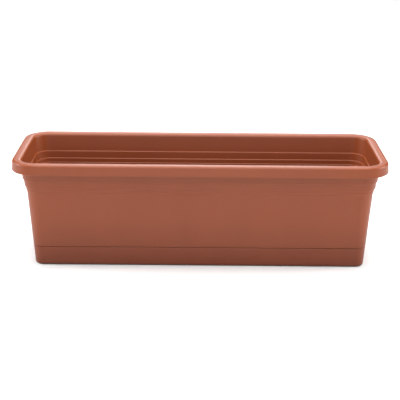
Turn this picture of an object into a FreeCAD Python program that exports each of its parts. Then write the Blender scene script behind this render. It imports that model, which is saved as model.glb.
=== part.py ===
import FreeCAD, Part
import math
import os

# Window box planter: a plastic trough with a rolled rim, standing in a flush drip tray.
# Millimetres, +Z up, +X along the length, front towards -Y.
# The origin is at the centre of the underside, on the ground.
# Faces all round the box are placed by their inset from the rim's outer edge.

Vector = FreeCAD.Vector

# Overall size, over the lower edge of the rim
overall_length = 600.0
overall_width = 200.0
overall_height = 180.0

# Rolled rim: a flat deck with rounded shoulders and a skirt turned down outside it
rim_corner_radius = 41.0
deck_thickness = 2.4
shoulder_round = 3.5
mouth_round = 5.0
skirt_depth = 16.8
skirt_thickness = 2.0
skirt_flare = 1.2
skirt_edge_round = 0.8

# Wall of the trough: drafted inwards, with three small steps, each some way below the last
wall_thickness = 2.2
wall_draft = 4.0
neck_inset = 13.7
base_corner_radius = 14.0
first_step_drop = 32.6
second_step_drop = 12.1
third_step_drop = 7.2
first_step_width = 1.6
second_step_width = 1.6
third_step_width = 0.9
ledge_fall = 0.5
ledge_round = 0.6

# Floor of the trough, in equal bays, with drainage holes down a shallow channel in its middle
floor_thickness = 2.4
floor_round = 4.0
bay_count = 4
end_bay_gap = 16.0
holes_per_bay = 2
drain_diameter = 9.0
channel_margin = 2.0
channel_depth = 0.8

# Feet, a pair under each bay: notched tubes that stand on the tray and drop over its buttons
foot_height = 10.0
foot_diameter = 24.0
foot_wall = 2.2
foot_row_gap = 33.0
notch_width = 5.0
notch_height = 3.0

# Drip tray
tray_height = 33.2
tray_wall = 2.0
tray_floor = 2.2
tray_edge_round = 4.5
tray_inner_round = 2.5
tray_lip_round = 0.8
button_height = 4.0
button_clearance = 0.4
rib_height = 3.0
rib_thickness = 2.0
rib_end_gap = 3.0

# Fit of the trough in the tray
tray_clearance = 0.5
seam_gap = 0.8

# Heights and insets that follow from the sizes above
draft_slope = math.tan(math.radians(wall_draft))
skirt_bottom = overall_height - skirt_depth
first_ledge = overall_height - first_step_drop
second_ledge = first_ledge - second_step_drop
third_ledge = second_ledge - third_step_drop
shoulder_height = tray_height + seam_gap
floor_bottom = tray_floor + foot_height
floor_top = floor_bottom + floor_thickness
tray_recess = tray_wall + tray_clearance
steps_width = first_step_width + second_step_width + third_step_width


def draft_inset(height):
    """Inset of the outer wall face at a height, before any step."""
    return neck_inset + draft_slope * (overall_height - height)


def corner_radius(height):
    """Plan radius of the outer wall's corners, from the rim's own down to the base's."""
    neck_radius = rim_corner_radius - draft_inset(skirt_bottom)
    return base_corner_radius + (neck_radius - base_corner_radius) * height / skirt_bottom


# The floor's half length and half width, its bays, and the distance between the rows of feet
floor_inset = draft_inset(floor_top) + steps_width + tray_recess + wall_thickness
floor_half_length = overall_length / 2 - floor_inset
floor_half_width = overall_width / 2 - floor_inset
bay_length = 2 * (floor_half_length - end_bay_gap) / bay_count
foot_spacing = 2 * (floor_half_width - foot_row_gap)


def rounded_rectangle(inset, radius, height):
    """Closed outline at a height, that far inside the rim's outer edge."""
    centre_x = overall_length / 2 - inset - radius
    centre_y = overall_width / 2 - inset - radius
    arcs = []
    for quarter, (side_x, side_y) in enumerate([(1, 1), (-1, 1), (-1, -1), (1, -1)]):
        centre = Vector(side_x * centre_x, side_y * centre_y, height)
        turns = [math.radians(90 * quarter + turn) for turn in (0, 45, 90)]
        arcs.append([centre + Vector(math.cos(t), math.sin(t), 0) * radius for t in turns])
    edges = []
    for quarter, (start, middle, end) in enumerate(arcs):
        edges.append(Part.LineSegment(arcs[quarter - 1][2], start).toShape())
        edges.append(Part.Arc(start, middle, end).toShape())
    return Part.Wire(edges)


def cut_corner(points, index, rounding):
    """Start, middle and end of the arc that rounds one corner of a closed outline."""
    point = points[index]
    back = (points[index - 1] - point).normalize()
    ahead = (points[(index + 1) % len(points)] - point).normalize()
    half_angle = back.getAngle(ahead) / 2
    reach = rounding / math.tan(half_angle)
    depth = rounding / math.sin(half_angle) - rounding
    middle = point + (back + ahead).normalize() * depth
    return point + back * reach, middle, point + ahead * reach


def rounded_section(corners, place):
    """Closed section through corners given as (inset, height, rounding)."""
    points = [place(inset, height) for inset, height, _ in corners]
    cuts = [cut_corner(points, index, corner[2]) for index, corner in enumerate(corners)]
    edges = []
    for index, (start, middle, end) in enumerate(cuts):
        if corners[index][2] > 0:
            edges.append(Part.Arc(start, middle, end).toShape())
        edges.append(Part.LineSegment(end, cuts[(index + 1) % len(cuts)][0]).toShape())
    return Part.Wire(edges)


def rounded_at(solid, heights, radius):
    """The solid with its level edges at these heights rounded."""
    level = []
    for edge in solid.Edges:
        box = edge.BoundBox
        if box.ZLength < 1e-4 and any(abs(box.ZMin - height) < 1e-4 for height in heights):
            level.append(edge)
    return solid.makeFillet(radius, level)


def side_outline(height, step_in, offset):
    """Outline of the wall at a height, stepped in and offset inwards from the outer face."""
    inset = draft_inset(height) + step_in + offset
    return rounded_rectangle(inset, corner_radius(height) - offset, height)


def upright(diameter, bottom, top, place):
    """Upright cylinder between two heights."""
    return Part.makeCylinder(diameter / 2, top - bottom, Vector(place[0], place[1], bottom))


def centred_box(length, width, bottom, top, place):
    """Box between two heights, centred over a place."""
    corner = Vector(place[0] - length / 2, place[1] - width / 2, bottom)
    return Part.makeBox(length, width, top - bottom, corner)


def spread(count, pitch):
    """Distances along the length of an evenly spaced row, centred on the middle of the floor."""
    return [(index - (count - 1) / 2) * pitch for index in range(count)]


def foot_places():
    """Middles of the feet: one at each side of every bay."""
    return [(x, side * foot_spacing / 2) for x in spread(bay_count, bay_length) for side in (-1, 1)]


def rim():
    """Deck, skirt and the top of the wall, swept round the box as one section."""
    start_y = rim_corner_radius - overall_width / 2

    def place(inset, height):
        return Vector(overall_length / 2 - inset, start_y, height)

    deck_bottom = overall_height - deck_thickness
    skirt_lean = skirt_flare * (skirt_depth - deck_thickness) / skirt_depth
    corners = [
        (0, skirt_bottom, skirt_edge_round),
        (skirt_flare, overall_height, shoulder_round),
        (draft_inset(overall_height) + wall_thickness, overall_height, mouth_round),
        (draft_inset(skirt_bottom) + wall_thickness, skirt_bottom, 0),
        (draft_inset(skirt_bottom), skirt_bottom, 0),
        (draft_inset(deck_bottom), deck_bottom, mouth_round - wall_thickness),
        (skirt_lean + skirt_thickness, deck_bottom, shoulder_round - skirt_thickness),
        (skirt_thickness, skirt_bottom, skirt_edge_round),
    ]
    path = rounded_rectangle(0, rim_corner_radius, skirt_bottom)
    return path.makePipeShell([rounded_section(corners, place)], True, False)


def wall_body(bottom, face_offset):
    """Solid inside one face of the trough's wall: 0 for the outer face, the wall for the inner."""
    steps = [
        (first_ledge, first_step_width, 0),
        (second_ledge, second_step_width, 0),
        (third_ledge, third_step_width, 0),
        (shoulder_height, 0, tray_recess),
    ]
    outlines = [side_outline(skirt_bottom, 0, face_offset)]
    ledges = []
    step_in = 0
    offset = face_offset
    for height, width, recess in steps:
        upper = height + face_offset
        lower = upper - ledge_fall
        outlines.append(side_outline(upper, step_in, offset))
        step_in += width
        offset += recess
        outlines.append(side_outline(lower, step_in, offset))
        ledges += [upper, lower]
    outlines.append(side_outline(bottom, step_in, offset))
    body = rounded_at(Part.makeLoft(outlines, True, True), ledges, ledge_round)
    return rounded_at(body, [bottom], floor_round)


def floor_cuts():
    """The channel down the middle of the floor and the drainage holes along it."""
    width = drain_diameter + 2 * channel_margin
    length = bay_count * bay_length
    cuts = [centred_box(length, width, floor_top - channel_depth, floor_top, (0, 0))]
    for x in spread(bay_count * holes_per_bay, bay_length / holes_per_bay):
        cuts.append(upright(drain_diameter, floor_bottom, floor_top, (x, 0)))
    return cuts


def foot_cuts():
    """The bore of each foot, and the notches that let water through it."""
    cuts = []
    for place in foot_places():
        notch_top = tray_floor + notch_height
        cuts.append(upright(foot_diameter - 2 * foot_wall, tray_floor, floor_bottom, place))
        cuts.append(centred_box(foot_diameter, notch_width, tray_floor, notch_top, place))
    return cuts


def trough():
    """The planter itself: wall, rolled rim, drained floor and feet in one moulding."""
    middle = (floor_bottom + floor_top) / 2
    feet = [upright(foot_diameter, tray_floor, middle, place) for place in foot_places()]
    shell = wall_body(floor_bottom, 0).cut(wall_body(floor_top, wall_thickness))
    return shell.fuse([rim()] + feet).cut(floor_cuts() + foot_cuts()).removeSplitter()


def tray_body(bottom, offset, bottom_round):
    """Solid inside one face of the tray's wall, flush with the trough's wall above it."""
    outlines = [side_outline(height, steps_width, offset) for height in (tray_height, bottom)]
    return rounded_at(Part.makeLoft(outlines, True, True), [bottom], bottom_round)


def tray_ribs():
    """Low ribs across the tray's floor, one between the feet of each pair."""
    width = foot_spacing - foot_diameter - 2 * rib_end_gap
    ribs = []
    for x in spread(bay_count, bay_length):
        top = tray_floor + rib_height
        ribs.append(centred_box(rib_thickness, width, tray_floor / 2, top, (x, 0)))
    return ribs


def tray_buttons():
    """Raised buttons that locate the trough's feet."""
    diameter = foot_diameter - 2 * foot_wall - 2 * button_clearance
    top = tray_floor + button_height
    return [upright(diameter, tray_floor / 2, top, place) for place in foot_places()]


def drip_tray():
    """Open tray that catches what drains, with its lip just under the trough's shoulder."""
    outside = tray_body(0, 0, tray_edge_round)
    hollow = tray_body(tray_floor, tray_wall, tray_inner_round)
    shell = rounded_at(outside.cut(hollow), [tray_height], tray_lip_round)
    return shell.fuse(tray_ribs() + tray_buttons()).removeSplitter()


def write_part(name, shape):
    """Write one sub-part and print what was made."""
    print(name, "solids", len(shape.Solids), "valid", shape.isValid(), "volume", round(shape.Volume))
    shape.exportStep(os.path.join("parts", name + ".step"))


os.makedirs("parts", exist_ok=True)
write_part("trough", trough())
write_part("drip_tray", drip_tray())
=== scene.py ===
import math

import bmesh
import bpy
from mathutils import Matrix, Vector

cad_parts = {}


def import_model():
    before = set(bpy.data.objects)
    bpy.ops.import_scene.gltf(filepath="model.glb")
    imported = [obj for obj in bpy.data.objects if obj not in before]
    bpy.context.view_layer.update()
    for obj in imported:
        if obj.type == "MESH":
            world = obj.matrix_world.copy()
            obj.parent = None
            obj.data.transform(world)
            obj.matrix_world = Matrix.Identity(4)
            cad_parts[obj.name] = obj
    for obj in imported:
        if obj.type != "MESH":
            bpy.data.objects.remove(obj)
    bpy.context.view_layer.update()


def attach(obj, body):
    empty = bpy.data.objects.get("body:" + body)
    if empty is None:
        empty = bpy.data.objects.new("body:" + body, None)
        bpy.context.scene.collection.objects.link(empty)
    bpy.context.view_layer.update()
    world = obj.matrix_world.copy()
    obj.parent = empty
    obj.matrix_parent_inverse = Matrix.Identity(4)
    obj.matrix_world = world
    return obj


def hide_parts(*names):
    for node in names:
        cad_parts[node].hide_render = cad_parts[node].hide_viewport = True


# The planter's sizes in millimetres, the same as those of its solids.
# A face all round the box is placed by its inset from the rim's outer edge.
MM = 0.001
LENGTH, WIDTH, HEIGHT = 600.0, 200.0, 180.0

# Rolled rim: a flat deck with a skirt turned down outside it
RIM_RADIUS = 41.0
DECK, SHOULDER_ROUND, MOUTH_ROUND = 2.4, 3.5, 5.0
SKIRT_DEPTH, SKIRT_WALL, SKIRT_FLARE, SKIRT_ROUND = 16.8, 2.0, 1.2, 0.8

# Wall of the trough, with steps given as (depth below the top, width)
WALL, DRAFT, NECK_INSET, BASE_RADIUS = 2.2, math.tan(math.radians(4.0)), 13.7, 14.0
STEPS = [(32.6, 1.6), (44.7, 1.6), (51.9, 0.9)]
LEDGE_FALL, LEDGE_ROUND = 0.5, 0.6

# The lower end of the trough is recessed below a shoulder, to stand inside the tray
RECESS, SHOULDER_HEIGHT = 2.5, 34.0

# Floor of the trough, in equal bays, with drainage holes down a shallow channel
FLOOR_BOTTOM, FLOOR_TOP, FLOOR_ROUND = 12.2, 14.6, 4.0
BAYS, HOLES_PER_BAY = 4, 2
HOLE_RADIUS = 4.5
CHANNEL_HALF, CHANNEL_BOTTOM, CHANNEL_CORNER = 6.5, 13.8, 1.0

# Feet: notched tubes, a pair under each bay
FOOT_RADIUS, BORE_RADIUS, NOTCH_HALF, NOTCH_TOP = 12.0, 9.8, 2.5, 5.2
END_BAY_GAP, FOOT_ROW_GAP = 16.0, 33.0

# Drip tray, with a button under each foot and a rib between the feet of each pair
TRAY_HEIGHT, TRAY_WALL, TRAY_FLOOR = 33.2, 2.0, 2.2
TRAY_EDGE_ROUND, TRAY_INNER_ROUND, TRAY_LIP_ROUND = 4.5, 2.5, 0.8
BUTTON_RADIUS, BUTTON_TOP = 9.4, 6.2
RIB_HALF, RIB_TOP, RIB_GAP = 1.0, 5.2, 3.0

# Buttons and ribs are rooted in the tray's floor and have a soft top edge
ROOT_DEPTH, SOFT_EDGE, SOFT_EDGE_START = 0.6, 0.5, 0.15
ROUND_END_GAP = 0.001

# The flat middle of a floor starts this far inside its outline
TROUGH_FLAT_GAP, TRAY_FLAT_GAP, FLAT_CORNER = 9.0, 12.0, 2.0

# How finely outlines are cut, as (corner, long side, short side), and the other forms
WALL_CUTS, CHANNEL_CUTS, RAISED_CUTS = (14, 60, 20), (3, 1, 1), (12, 1, 1)
ROUNDING_CUTS, HOLE_CUTS, FOOT_CUTS = 5, 40, 48
LONGEST_RUN = 9.0

# How much an edge is rubbed by handling
EDGE_WEAR, ROUND_WEAR, STANDING_WEAR, LOW_WEAR = 1.0, 0.6, 0.5, 0.3

# Shading of the meshes
SHARP_ANGLE = math.radians(36)
NORMAL_WEIGHT = 80

# Colours of the plastic, a little darker and redder on the tray; the tray's darker tone is partly
# its own and partly painted shade
MARK_COLOURS = ((0.181, 0.0365, 0.0088), (0.198, 0.0412, 0.0102))
WORN_COLOUR = (0.25, 0.07, 0.025)
# Painted contact shadow: near black, mixed into the lowest 5 mm of each piece
SHADOW_COLOUR = (0.020, 0.007, 0.003)
TROUGH_SHADE, TRAY_SHADE = 1.0, 0.92
EVEN_POWERS, REDDER_POWERS = (1, 1, 1), (1, 2, 3)

# Softboxes in metres and watts: name, size, place and power
SOFTBOXES = [
    ("softbox_top", (2.4, 2.4), (0.0, 0.3, 2.6), 142.0),
    ("softbox_back", (1.6, 1.4), (0.0, 3.0, 1.5), 38.0),
    ("softbox_left", (1.6, 1.4), (-3.2, 0.0, 1.2), 112.0),
    ("softbox_right", (1.6, 1.4), (3.2, 0.0, 1.2), 112.0),
    ("softbox_front_high", (1.6, 1.2), (0.0, -2.4, 2.6), 51.8),
    ("softbox_front", (1.2, 0.8), (0.0, -3.2, 0.9), 35.8),
]
LIT_POINT = (0.0, 0.0, 0.1)
FLOOR_REACH = 14.0

# Camera in metres and radians, its focal length in pixels of the image
CAMERA_PLACE = (-0.00423, -1.57655, 0.65618)
CAMERA_TILT, CAMERA_YAW, CAMERA_ROLL = 0.3448, -0.0028, -0.0094
FOCAL_PIXELS, IMAGE_PIXELS = 1000.2, 400.0
SENSOR_WIDTH = 36.0

# Sockets of a mix node
FACTOR, FLOAT_A, FLOAT_B, COLOUR_A, COLOUR_B = 0, 2, 3, 6, 7
FLOAT_RESULT, COLOUR_RESULT = 0, 2


# Heights and insets that follow from the sizes above


def draft_inset(height):
    """Inset of the wall's outer face at a height, before any step."""
    return NECK_INSET + DRAFT * (HEIGHT - height)


SKIRT_BOTTOM = HEIGHT - SKIRT_DEPTH
STEPS_WIDTH = sum(width for _, width in STEPS)
FLOOR_INSET = draft_inset(FLOOR_TOP) + STEPS_WIDTH + RECESS + WALL
BAY = 2 * (LENGTH / 2 - FLOOR_INSET - END_BAY_GAP) / BAYS
FOOT_Y = WIDTH / 2 - FLOOR_INSET - FOOT_ROW_GAP


def corner_radius(height):
    """Plan radius of the wall's corners, from the rim's own down to the base's."""
    neck_radius = RIM_RADIUS - draft_inset(SKIRT_BOTTOM)
    return BASE_RADIUS + (neck_radius - BASE_RADIUS) * height / SKIRT_BOTTOM


def spread(count, pitch):
    """Distances along the length of an evenly spaced row, centred on the middle."""
    return [(index - (count - 1) / 2) * pitch for index in range(count)]


def foot_places():
    """Middles of the feet: one at each side of every bay."""
    return [(x, side * FOOT_Y) for x in spread(BAYS, BAY) for side in (-1, 1)]


# Sections: corners are (inset, height, plan radius, rounding, wear)


def wall_corner(height, step_in, offset, rounding, wear=0.0):
    """Corner on the wall, stepped in and offset inwards from its outer face."""
    inset = draft_inset(height) + step_in + offset
    return (inset, height, corner_radius(height) - offset, rounding, wear)


def rim_corner(inset, height, rounding, wear=0.0):
    """Corner on the rim, whose outlines are all parallel to its outer edge."""
    return (inset, height, RIM_RADIUS - inset, rounding, wear)


def flat_corner(inset, height):
    """Open end of a section, where the flat middle of a floor starts."""
    return (inset, height, FLAT_CORNER, 0, 0.0)


def rounded_stations(before, corner, after):
    """Stations along the arc that rounds one corner, most worn in its middle."""
    here = Vector(corner[:3])
    back, ahead = Vector(before[:3]) - here, Vector(after[:3]) - here
    flat_back, flat_ahead = back.to_2d(), ahead.to_2d()
    half_angle = flat_back.angle(flat_ahead) / 2
    reach = corner[3] / math.tan(half_angle)
    start = here + back * (reach / flat_back.length)
    end = here + ahead * (reach / flat_ahead.length)
    pull = math.sin(half_angle)
    stations = []
    for cut in range(ROUNDING_CUTS + 1):
        t = cut / ROUNDING_CUTS
        weights = ((1 - t) ** 2, 2 * pull * t * (1 - t), t * t)
        point = start * weights[0] + here * weights[1] + end * weights[2]
        wear = corner[4] * math.sqrt(math.sin(math.pi * t))
        stations.append((*(point / sum(weights)), wear))
    return stations


def section_stations(corners):
    """Stations (inset, height, plan radius, wear) along an open section of rounded corners."""
    stations = [(*corners[0][:3], corners[0][4])]
    for index in range(1, len(corners)):
        corner = corners[index]
        if corner[3] > 0:
            turn = rounded_stations(corners[index - 1], corner, corners[index + 1])
        else:
            turn = [(*corner[:3], corner[4])]
        last = Vector(stations[-1][:3])
        run = Vector(turn[0][:3]) - last
        pieces = max(1, math.ceil(run.to_2d().length / LONGEST_RUN))
        for piece in range(1, pieces):
            stations.append((*(last + run * (piece / pieces)), 0.0))
        stations += turn
    return stations


def trough_stations():
    """Section of the trough from its underside, up the outside, over the rim and down inside."""
    deck_bottom = HEIGHT - DECK
    lean = SKIRT_FLARE * (SKIRT_DEPTH - DECK) / SKIRT_DEPTH
    flat_inset = FLOOR_INSET + TROUGH_FLAT_GAP
    corners = [
        flat_corner(flat_inset, FLOOR_BOTTOM),
        wall_corner(FLOOR_BOTTOM, STEPS_WIDTH, RECESS, FLOOR_ROUND, LOW_WEAR),
        wall_corner(SHOULDER_HEIGHT - LEDGE_FALL, STEPS_WIDTH, RECESS, LEDGE_ROUND),
        wall_corner(SHOULDER_HEIGHT, STEPS_WIDTH, 0, LEDGE_ROUND, EDGE_WEAR),
    ]
    step_in = STEPS_WIDTH
    for depth, width in reversed(STEPS):
        ledge = HEIGHT - depth
        corners.append(wall_corner(ledge - LEDGE_FALL, step_in, 0, LEDGE_ROUND))
        step_in -= width
        corners.append(wall_corner(ledge, step_in, 0, LEDGE_ROUND, EDGE_WEAR))
    corners += [
        rim_corner(draft_inset(deck_bottom), deck_bottom, MOUTH_ROUND - WALL),
        rim_corner(lean + SKIRT_WALL, deck_bottom, SHOULDER_ROUND - SKIRT_WALL),
        rim_corner(SKIRT_WALL, SKIRT_BOTTOM, SKIRT_ROUND, LOW_WEAR),
        rim_corner(0, SKIRT_BOTTOM, SKIRT_ROUND, EDGE_WEAR),
        rim_corner(SKIRT_FLARE, HEIGHT, SHOULDER_ROUND, ROUND_WEAR),
        rim_corner(draft_inset(HEIGHT) + WALL, HEIGHT, MOUTH_ROUND, ROUND_WEAR),
    ]
    step_in = 0.0
    for depth, width in STEPS:
        ledge = HEIGHT - depth + WALL
        corners.append(wall_corner(ledge, step_in, WALL, LEDGE_ROUND))
        step_in += width
        corners.append(wall_corner(ledge - LEDGE_FALL, step_in, WALL, LEDGE_ROUND, EDGE_WEAR))
    shoulder = SHOULDER_HEIGHT + WALL
    low_offset = WALL + RECESS
    corners += [
        wall_corner(shoulder, STEPS_WIDTH, WALL, LEDGE_ROUND),
        wall_corner(shoulder - LEDGE_FALL, STEPS_WIDTH, low_offset, LEDGE_ROUND, EDGE_WEAR),
        wall_corner(FLOOR_TOP, STEPS_WIDTH, low_offset, FLOOR_ROUND),
        flat_corner(flat_inset, FLOOR_TOP),
    ]
    return section_stations(corners)


def tray_stations():
    """Section of the tray from its underside, up the outside, over the lip and down inside."""
    flat_inset = draft_inset(0) + STEPS_WIDTH + TRAY_FLAT_GAP
    corners = [
        flat_corner(flat_inset, 0.0),
        wall_corner(0.0, STEPS_WIDTH, 0, TRAY_EDGE_ROUND, LOW_WEAR),
        wall_corner(TRAY_HEIGHT, STEPS_WIDTH, 0, TRAY_LIP_ROUND, EDGE_WEAR),
        wall_corner(TRAY_HEIGHT, STEPS_WIDTH, TRAY_WALL, TRAY_LIP_ROUND, ROUND_WEAR),
        wall_corner(TRAY_FLOOR, STEPS_WIDTH, TRAY_WALL, TRAY_INNER_ROUND),
        flat_corner(flat_inset, TRAY_FLOOR),
    ]
    return section_stations(corners)


# Outlines: level rounded rectangles and circles


def rounded_rectangle(half_x, half_y, radius, height, centre=(0.0, 0.0), cuts=WALL_CUTS):
    """Points anticlockwise from the front end of the front right corner."""
    corner_cuts, long_cuts, short_cuts = cuts
    arcs = []
    for quarter, (side_x, side_y) in enumerate([(1, -1), (1, 1), (-1, 1), (-1, -1)]):
        middle_x = centre[0] + side_x * (half_x - radius)
        middle_y = centre[1] + side_y * (half_y - radius)
        arc = []
        for cut in range(corner_cuts + 1):
            turn = math.radians(90 * (quarter - 1 + cut / corner_cuts))
            x, y = middle_x + radius * math.cos(turn), middle_y + radius * math.sin(turn)
            arc.append(Vector((x, y, height)))
        arcs.append(arc)
    points = []
    for quarter, arc in enumerate(arcs):
        points += arc
        following = arcs[(quarter + 1) % len(arcs)]
        side_cuts = long_cuts if quarter % 2 else short_cuts
        for cut in range(1, side_cuts):
            points.append(arc[-1].lerp(following[0], cut / side_cuts))
    return points


def circle(radius, height, centre, count, start=0.0):
    """Points anticlockwise from the right, or from a share of a cut further on."""
    points = []
    for index in range(count):
        turn = 2 * math.pi * (index + start) / count
        x, y = centre[0] + radius * math.cos(turn), centre[1] + radius * math.sin(turn)
        points.append(Vector((x, y, height)))
    return points


# Meshes


def new_mesh():
    """Empty mesh that stores the wear of its vertices."""
    bm = bmesh.new()
    bm.verts.layers.float.new("wear")
    return bm


def add_ring(bm, points, wear=0.0):
    """Vertices of one outline."""
    layer = bm.verts.layers.float["wear"]
    ring = []
    for point in points:
        vert = bm.verts.new(point)
        vert[layer] = wear
        ring.append(vert)
    return ring


def join_rings(bm, rings):
    """Side faces from each ring to the next."""
    for first, second in zip(rings, rings[1:]):
        for index in range(len(first)):
            after = (index + 1) % len(first)
            bm.faces.new((first[index], first[after], second[after], second[index]))


def add_section(bm, stations):
    """Rings swept round the box through the stations, joined in order."""
    rings = []
    for inset, height, radius, wear in stations:
        points = rounded_rectangle(LENGTH / 2 - inset, WIDTH / 2 - inset, radius, height)
        rings.append(add_ring(bm, points, wear))
    join_rings(bm, rings)
    return rings


def ring_edges(bm, ring):
    """Edges of a closed ring, made where no face has them yet."""
    edges = []
    for index, vert in enumerate(ring):
        after = ring[(index + 1) % len(ring)]
        edges.append(bm.edges.get((vert, after)) or bm.edges.new((vert, after)))
    return edges


def fill_between(bm, rings):
    """Flat face inside the first ring with the others cut out of it."""
    edges = [edge for ring in rings for edge in ring_edges(bm, ring)]
    bmesh.ops.triangle_fill(bm, use_beauty=True, use_dissolve=False, edges=edges)


def finish_mesh(bm, name):
    """A smooth object in metres from a mesh in millimetres."""
    bmesh.ops.recalc_face_normals(bm, faces=bm.faces)
    bm.transform(Matrix.Scale(MM, 4))
    mesh = bpy.data.meshes.new(name)
    bm.to_mesh(mesh)
    bm.free()
    for polygon in mesh.polygons:
        polygon.use_smooth = True
    mesh.set_sharp_from_angle(angle=SHARP_ANGLE)
    piece = bpy.data.objects.new(name, mesh)
    bpy.context.scene.collection.objects.link(piece)
    weighted = piece.modifiers.new("weighted", "WEIGHTED_NORMAL")
    weighted.keep_sharp = True
    weighted.weight = NORMAL_WEIGHT
    return piece


def add_foot(bm, place):
    """Notched tube under the floor; returns its outer ring, which the underside meets."""
    levels = (FLOOR_BOTTOM, NOTCH_TOP, TRAY_FLOOR)
    rings = {}
    for radius in (FOOT_RADIUS, BORE_RADIUS):
        for level in levels:
            wear = STANDING_WEAR if level == TRAY_FLOOR else 0.0
            rings[radius, level] = add_ring(bm, circle(radius, level, place, FOOT_CUTS, 0.5), wear)
    notched = []
    for index in range(FOOT_CUTS):
        turn = 2 * math.pi * (index + 1) / FOOT_CUTS
        notched.append(FOOT_RADIUS * abs(math.sin(turn)) < NOTCH_HALF)
    for index in range(FOOT_CUTS):
        after = (index + 1) % FOOT_CUTS
        for radius in (FOOT_RADIUS, BORE_RADIUS):
            top, middle, bottom = [rings[radius, level] for level in levels]
            bm.faces.new((top[index], top[after], middle[after], middle[index]))
            if not notched[index]:
                bm.faces.new((middle[index], middle[after], bottom[after], bottom[index]))
        end = NOTCH_TOP if notched[index] else TRAY_FLOOR
        outer, inner = rings[FOOT_RADIUS, end], rings[BORE_RADIUS, end]
        bm.faces.new((outer[index], outer[after], inner[after], inner[index]))
        if notched[index] != notched[after]:
            side = [rings[FOOT_RADIUS, level][after] for level in (NOTCH_TOP, TRAY_FLOOR)]
            side += [rings[BORE_RADIUS, level][after] for level in (TRAY_FLOOR, NOTCH_TOP)]
            bm.faces.new(side)
    bm.faces.new(rings[BORE_RADIUS, FLOOR_BOTTOM])
    return rings[FOOT_RADIUS, FLOOR_BOTTOM]


def add_channel_ring(bm, height, wear=0.0):
    """Outline of the drainage channel at a height."""
    half_length = BAYS * BAY / 2
    points = rounded_rectangle(
        half_length, CHANNEL_HALF, CHANNEL_CORNER, height, cuts=CHANNEL_CUTS
    )
    return add_ring(bm, points, wear)


def make_planter():
    """The trough: wall and rim, drained floor and feet, in one closed mesh."""
    bm = new_mesh()
    rings = add_section(bm, trough_stations())
    channel_top = add_channel_ring(bm, FLOOR_TOP, ROUND_WEAR)
    channel_low = add_channel_ring(bm, CHANNEL_BOTTOM)
    join_rings(bm, [channel_top, channel_low])
    upper_holes, lower_holes = [], []
    for x in spread(BAYS * HOLES_PER_BAY, BAY / HOLES_PER_BAY):
        for holes, level in ((upper_holes, CHANNEL_BOTTOM), (lower_holes, FLOOR_BOTTOM)):
            points = circle(HOLE_RADIUS, level, (x, 0.0), HOLE_CUTS)
            holes.append(add_ring(bm, points, ROUND_WEAR))
        join_rings(bm, [upper_holes[-1], lower_holes[-1]])
    feet = [add_foot(bm, place) for place in foot_places()]
    fill_between(bm, [rings[-1], channel_top])
    fill_between(bm, [channel_low] + upper_holes)
    fill_between(bm, [rings[0]] + lower_holes + feet)
    return finish_mesh(bm, "planter_moulding")


def close_ends(bm, rings):
    """Flat faces on the first and the last ring."""
    bm.faces.new(rings[0])
    bm.faces.new(rings[-1])


def add_raised(bm, half_x, half_y, top, place):
    """Button or rib on the tray's floor: upright, with round ends and a soft top edge."""
    radius = half_x - ROUND_END_GAP
    stages = [
        (0.0, TRAY_FLOOR - ROOT_DEPTH, 0.0),
        (0.0, top - SOFT_EDGE, LOW_WEAR),
        (SOFT_EDGE_START, top - SOFT_EDGE_START, EDGE_WEAR),
        (SOFT_EDGE, top, STANDING_WEAR),
    ]
    rings = []
    for inset, height, wear in stages:
        points = rounded_rectangle(
            half_x - inset, half_y - inset, radius - inset, height, place, RAISED_CUTS
        )
        rings.append(add_ring(bm, points, wear))
    join_rings(bm, rings)
    close_ends(bm, rings)


def make_tray():
    """The drip tray: wall and floor, and the buttons and ribs inside it."""
    bm = new_mesh()
    close_ends(bm, add_section(bm, tray_stations()))
    for place in foot_places():
        add_raised(bm, BUTTON_RADIUS, BUTTON_RADIUS, BUTTON_TOP, place)
    for x in spread(BAYS, BAY):
        add_raised(bm, RIB_HALF, FOOT_Y - FOOT_RADIUS - RIB_GAP, RIB_TOP, (x, 0.0))
    return finish_mesh(bm, "tray_moulding")


# Materials


def node(tree, kind, inputs=(), **settings):
    """New node with its settings made, and its inputs linked or given a value."""
    made = tree.nodes.new(kind)
    for name, value in settings.items():
        setattr(made, name, value)
    for name, value in dict(inputs).items():
        if isinstance(value, bpy.types.NodeSocket):
            tree.links.new(value, made.inputs[name])
        else:
            made.inputs[name].default_value = value
    return made


def map_range(tree, value, from_max, to_min, to_max):
    """Output that goes evenly from one number to another as the value rises from 0."""
    inputs = {"Value": value, "From Max": from_max, "To Min": to_min, "To Max": to_max}
    return node(tree, "ShaderNodeMapRange", inputs).outputs[0]


def mix_colours(tree, factor, colour_a, colour_b):
    """Output that goes from one colour to the other as the factor rises."""
    inputs = {FACTOR: factor, COLOUR_A: colour_a, COLOUR_B: colour_b}
    return node(tree, "ShaderNodeMix", inputs, data_type="RGBA").outputs[COLOUR_RESULT]


def shaded(colour, shade, powers=EVEN_POWERS):
    """Colour darkened by a power of the shade in each channel, as a socket takes it."""
    return (*(channel * shade**power for channel, power in zip(colour, powers)), 1.0)


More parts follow.
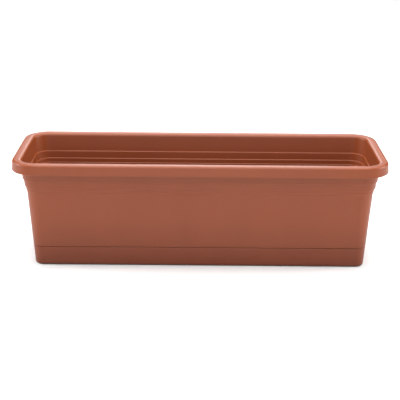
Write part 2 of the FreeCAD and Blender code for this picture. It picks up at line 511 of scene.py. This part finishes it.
def plastic_colour(tree, place, cloud, wear, shade):
    """Colour of the plastic: faint flow marks, paler edges, painted shade darker towards the
    ground and a painted contact shadow at its foot.
    """
    stretch = (26.0, 26.0, 5.0)
    stretched = node(tree, "ShaderNodeMapping", {"Vector": place, "Scale": stretch}).outputs[0]
    waves = {"Vector": stretched, "Scale": 1.0, "Detail": 3.0}
    flow = node(tree, "ShaderNodeTexNoise", waves).outputs[0]
    both = {FACTOR: 0.5, FLOAT_A: flow, FLOAT_B: cloud}
    marks = node(tree, "ShaderNodeMix", both).outputs[FLOAT_RESULT]
    ramp = node(tree, "ShaderNodeValToRGB", {"Fac": marks})
    for element, position, colour in zip(ramp.color_ramp.elements, (0.3, 0.7), MARK_COLOURS):
        element.position = position
        element.color = shaded(colour, shade, REDDER_POWERS)
    rubbed = node(tree, "ShaderNodeMath", {0: wear, 1: 0.25}, operation="MULTIPLY").outputs[0]
    colour = mix_colours(tree, rubbed, ramp.outputs[0], shaded(WORN_COLOUR, shade))
    height = node(tree, "ShaderNodeSeparateXYZ", {"Vector": place}).outputs["Z"]
    # Painted shade: the colour is scaled from 72% at the ground up to full at 85 mm, for the lower
    # wall lit less
    painted_low_shade = map_range(tree, height, from_max=0.085, to_min=0.72, to_max=1.0)
    scaled = {0: colour, "Scale": painted_low_shade}
    colour_with_painted_shade = node(tree, "ShaderNodeVectorMath", scaled, operation="SCALE").outputs[0]
    # Painted contact shadow, strongest at the ground and gone 5 mm up
    painted_contact_shadow = map_range(tree, height, from_max=0.005, to_min=0.75, to_max=0.0)
    return mix_colours(tree, painted_contact_shadow, colour_with_painted_shade, (*SHADOW_COLOUR, 1.0))


def terracotta(name, shade):
    """Satin moulded plastic with a fine grain, smoother where it is worn."""
    material = bpy.data.materials.new(name)
    material.use_nodes = True
    tree = material.node_tree
    tree.nodes.clear()
    place = node(tree, "ShaderNodeTexCoord").outputs["Object"]
    wear = node(tree, "ShaderNodeAttribute", attribute_name="wear").outputs["Fac"]
    patches = {"Vector": place, "Scale": 7.0, "Detail": 2.0}
    cloud = node(tree, "ShaderNodeTexNoise", patches).outputs[0]
    specks = {"Vector": place, "Scale": 900.0, "Detail": 2.0}
    grain = node(tree, "ShaderNodeTexNoise", specks).outputs[0]
    patchy = map_range(tree, cloud, from_max=1.0, to_min=0.40, to_max=0.46)
    polished = {0: wear, 1: -0.05, 2: patchy}
    relief = {"Height": grain, "Strength": 0.25, "Distance": 0.00004}
    surface = {
        "Base Color": plastic_colour(tree, place, cloud, wear, shade),
        "Roughness": node(tree, "ShaderNodeMath", polished, operation="MULTIPLY_ADD").outputs[0],
        "Normal": node(tree, "ShaderNodeBump", relief).outputs[0],
    }
    shader = node(tree, "ShaderNodeBsdfPrincipled", surface)
    shader.inputs["IOR"].default_value = 1.5
    shader.inputs["Specular IOR Level"].default_value = 0.34
    node(tree, "ShaderNodeOutputMaterial", {0: shader.outputs[0]})
    return material


def floor_material():
    """Matt light grey."""
    material = bpy.data.materials.new("studio_floor")
    material.use_nodes = True
    shader = material.node_tree.nodes["Principled BSDF"]
    shader.inputs["Base Color"].default_value = (0.72, 0.72, 0.72, 1.0)
    shader.inputs["Roughness"].default_value = 0.9
    shader.inputs["Specular IOR Level"].default_value = 0.1
    return material


# Stage


def make_floor():
    """Level floor that the planter stands on."""
    bm = bmesh.new()
    bmesh.ops.create_grid(bm, x_segments=1, y_segments=1, size=FLOOR_REACH)
    mesh = bpy.data.meshes.new("studio_floor")
    bm.to_mesh(mesh)
    bm.free()
    floor = bpy.data.objects.new("studio_floor", mesh)
    floor.data.materials.append(floor_material())
    bpy.context.scene.collection.objects.link(floor)


def make_lights():
    """Softboxes over, behind, in front and at both ends of the planter, in a dark room."""
    for name, size, place, power in SOFTBOXES:
        light = bpy.data.lights.new(name, "AREA")
        light.shape = "RECTANGLE"
        light.size, light.size_y = size
        light.energy = power
        lamp = bpy.data.objects.new(name, light)
        lamp.location = place
        direction = Vector(LIT_POINT) - Vector(place)
        lamp.rotation_euler = direction.to_track_quat("-Z", "Y").to_euler()
        bpy.context.scene.collection.objects.link(lamp)
    world = bpy.data.worlds.new("studio")
    world.use_nodes = True
    world.node_tree.nodes["Background"].inputs["Strength"].default_value = 0.0
    bpy.context.scene.world = world


def make_camera():
    """Camera in front of the planter and above it, turned and rolled very slightly."""
    turned = Vector((-math.sin(CAMERA_YAW), math.cos(CAMERA_YAW), 0.0))
    right = Vector((math.cos(CAMERA_YAW), math.sin(CAMERA_YAW), 0.0))
    ahead = turned * math.cos(CAMERA_TILT) - Vector((0.0, 0.0, math.sin(CAMERA_TILT)))
    down = ahead.cross(right)
    across = right * math.cos(CAMERA_ROLL) + down * math.sin(CAMERA_ROLL)
    below = down * math.cos(CAMERA_ROLL) - right * math.sin(CAMERA_ROLL)
    data = bpy.data.cameras.new("camera")
    data.sensor_fit = "HORIZONTAL"
    data.sensor_width = SENSOR_WIDTH
    data.lens = SENSOR_WIDTH * FOCAL_PIXELS / IMAGE_PIXELS
    camera = bpy.data.objects.new("camera", data)
    turn = Matrix((across, -below, -ahead)).transposed().to_4x4()
    camera.matrix_world = Matrix.Translation(Vector(CAMERA_PLACE)) @ turn
    bpy.context.scene.collection.objects.link(camera)
    bpy.context.scene.camera = camera


def dress(piece, body, replaced, shade):
    """Give a piece its plastic, and say which body it rides and which solid it stands for."""
    piece.data.materials.append(terracotta("terracotta_plastic_" + body, shade))
    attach(piece, body)
    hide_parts(replaced)


def main():
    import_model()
    planter = make_planter()
    tray = make_tray()
    dress(planter, "planter", "trough", TROUGH_SHADE)
    dress(tray, "tray", "drip_tray", TRAY_SHADE)
    make_floor()
    make_lights()
    make_camera()
    bpy.context.scene.view_settings.view_transform = "Standard"


main()
